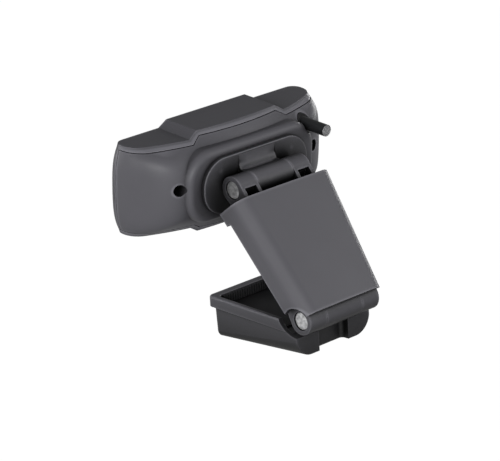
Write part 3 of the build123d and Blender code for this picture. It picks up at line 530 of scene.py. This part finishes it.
# =====================================================================================
# Front: a gloss black panel set into the shell round the lens, with the lens ring and
# its pane of glass.
# =====================================================================================
# These mouldings too have shade painted into their hollows, at the default power.
panel_black = moulded_plastic("panel_black", (0.006, 0.006, 0.007), 0.10, 0.004, 0.000004)
dress(panel_black, "front_panel")
ring_black = moulded_plastic("ring_black", (0.012, 0.012, 0.013), 0.22, 0.001, 0.00001)
dress(ring_black, "lens_ring")


def optical_glass(name, tint, roughness, coating=(1.0, 1.0, 1.0)):
    """Clear glass with a faint tint, a coloured antireflection coating and a trace of
    smear in its gloss."""
    paint, tree, shader = new_finish(name)
    shader.inputs["Transmission Weight"].default_value = 1.0
    shader.inputs["IOR"].default_value = 1.5
    shader.inputs["Base Color"].default_value = (*tint, 1.0)
    shader.inputs["Specular Tint"].default_value = (*coating, 1.0)
    smear = ramp(tree, noise(tree, 300.0, 3.0), roughness, roughness + 0.03)
    tree.links.new(smear, shader.inputs["Roughness"])
    return paint


front_glass = optical_glass("front_glass", (0.93, 0.95, 0.98), 0.01)
dress(front_glass, "cover_glass")

# =====================================================================================
# Lens: a black barrel screwed into its holder over the sensor, with coated elements and
# a thin filter that stops infrared light.
# =====================================================================================
module_black = moulded_plastic("module_black", (0.018, 0.018, 0.019), 0.48, 0.0005, 0.00003)
dress(module_black, "lens_holder", "lens_barrel")
violet_coating = (0.45, 0.30, 1.0)
lens_glass = optical_glass("lens_glass", (0.80, 0.86, 0.98), 0.01, violet_coating)
dress(lens_glass, "lens_elements")
filter_glass = optical_glass("filter_glass", (0.75, 0.45, 0.50), 0.02)
dress(filter_glass, "infrared_filter")
sensor_silicon = turned_metal("sensor_silicon", (0.10, 0.09, 0.13), 0.18, 2500.0, mottle=0.3)
dress(sensor_silicon, "image_sensor")

# =====================================================================================
# Circuit board: glass fibre under green solder mask, held by small screws. It carries
# the microphones, the status light under its acrylic guide, and the lead's socket.
# =====================================================================================
solder_mask = moulded_plastic("solder_mask", (0.012, 0.085, 0.035), 0.30, 0.0015, 0.00002)
dress(solder_mask, "main_board")
dress(black_screw, "board_screws")
can_steel = turned_metal("can_steel", (0.68, 0.67, 0.62), 0.30, 2000.0, mottle=0.1)
dress(can_steel, "microphones")
socket_nylon = moulded_plastic("socket_nylon", (0.70, 0.68, 0.60), 0.45, 0.0008, 0.00002)
dress(socket_nylon, "cable_connector")
light_acrylic = moulded_plastic("light_acrylic", (0.75, 0.78, 0.82), 0.20, 0.001, 0.00001)
dress(light_acrylic, "status_led", "status_light_guide")

# =====================================================================================
# Lead: a short straight piece of round cable in a PVC jacket, held by a rubber grommet
# in the rear cover and cut off square.
# =====================================================================================
grommet_rubber = sheet_rubber("grommet_rubber", (0.010, 0.010, 0.011), 0.60)
dress(grommet_rubber, "cable_grommet")
jacket_pvc = sheet_rubber("jacket_pvc", (0.032, 0.033, 0.036), 0.30)
dress(jacket_pvc, "usb_cable")

# =====================================================================================
# Cut end of the lead: the braided screen of tinned copper, whose rim the cut has rolled
# over, round packed copper strands whose ends stand up as small domes.
# =====================================================================================
tinned_copper = turned_metal("tinned_copper", (0.42, 0.42, 0.43), 0.40, 1400.0, mottle=0.45)
cable_low, cable_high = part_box("usb_cable")
cable_radius = (cable_high[0] - cable_low[0]) / 2
cut_centre = np.array([(cable_low[0] + cable_high[0]) / 2,
                       cable_low[1] + cable_radius * np.sin(head_pitch),
                       cable_low[2] + cable_radius * np.cos(head_pitch)])
cut_side = np.array([1.0, 0.0, 0.0])
cut_up = np.array([0.0, -np.sin(head_pitch), np.cos(head_pitch)])
cut_out = np.array([0.0, -np.cos(head_pitch), -np.sin(head_pitch)])
screen_rise = 0.0001
rim_start = 0.88
braid_wires = 24
braid_twist = 0.4
strand_radius = 0.00031
strand_pitch = 2.02 * strand_radius
strand_rise = 0.00016
strand_foot = 0.00003
strand_rings = 3


def on_cut(side, up, rise):
    """Points by their place on the cut face and their rise out of it."""
    side, up, rise = np.broadcast_arrays(side, up, rise)
    return (cut_centre + side[..., None] * cut_side + up[..., None] * cut_up
            + rise[..., None] * cut_out)


def cut_screen():
    """Flat face and rolled rim of the screen. Each row is a distance from the axis, in cable
    radii, and a rise. Round the rim the braid varies the rise, which is multiplied by
    1 + twist x sin(wires x angle)."""
    turn = full_turn(4 * braid_wires)
    rows = np.array([(0.0, 0.4), (0.5, 0.4), (0.86, 0.4), (0.89, 1.2), (0.93, 1.6),
                     (0.96, 1.1), (0.97, 0.3), (0.96, -0.6), (0.0, -0.6)])
    out, rise = rows.T[:, :, None]
    on_rim = (out > rim_start) & (rise > 0)
    rise = screen_rise * rise * (1 + braid_twist * np.sin(braid_wires * turn) * on_rim)
    out = out * cable_radius
    return on_cut(out * np.cos(turn), out * np.sin(turn), rise)


def strand_ends():
    """Strand ends, packed in hexagons of three rings round one: each is a dome whose distance
    from its own axis is r sin(a) and whose rise is h cos(a), a running from 0 to a right
    angle, with a flat base under it."""
    steps = np.arange(-strand_rings, strand_rings + 1)
    across, along = (line.ravel() for line in np.meshgrid(steps, steps))
    kept = np.abs(across + along) <= strand_rings
    across, along = across[kept], along[kept]
    side = strand_pitch * (across + along / 2)[:, None, None]
    up = strand_pitch * (along * np.sqrt(3) / 2)[:, None, None]
    tip = np.linspace(0.0, np.pi / 2, 5)
    out = strand_radius * np.append(np.sin(tip), 0.0)[None, :, None]
    dome = strand_rise * np.append(np.cos(tip), 0.0)[None, :, None]
    turn = full_turn(12)
    return on_cut(side + out * np.cos(turn), up + out * np.sin(turn), strand_foot + dome)


screen = grid_piece("cable_screen_end", cut_screen(), tinned_copper)
strands = grid_piece("cable_strand_ends", strand_ends(), tinned_copper, crease=60.0)
for piece in (screen, strands):
    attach(piece, "head")
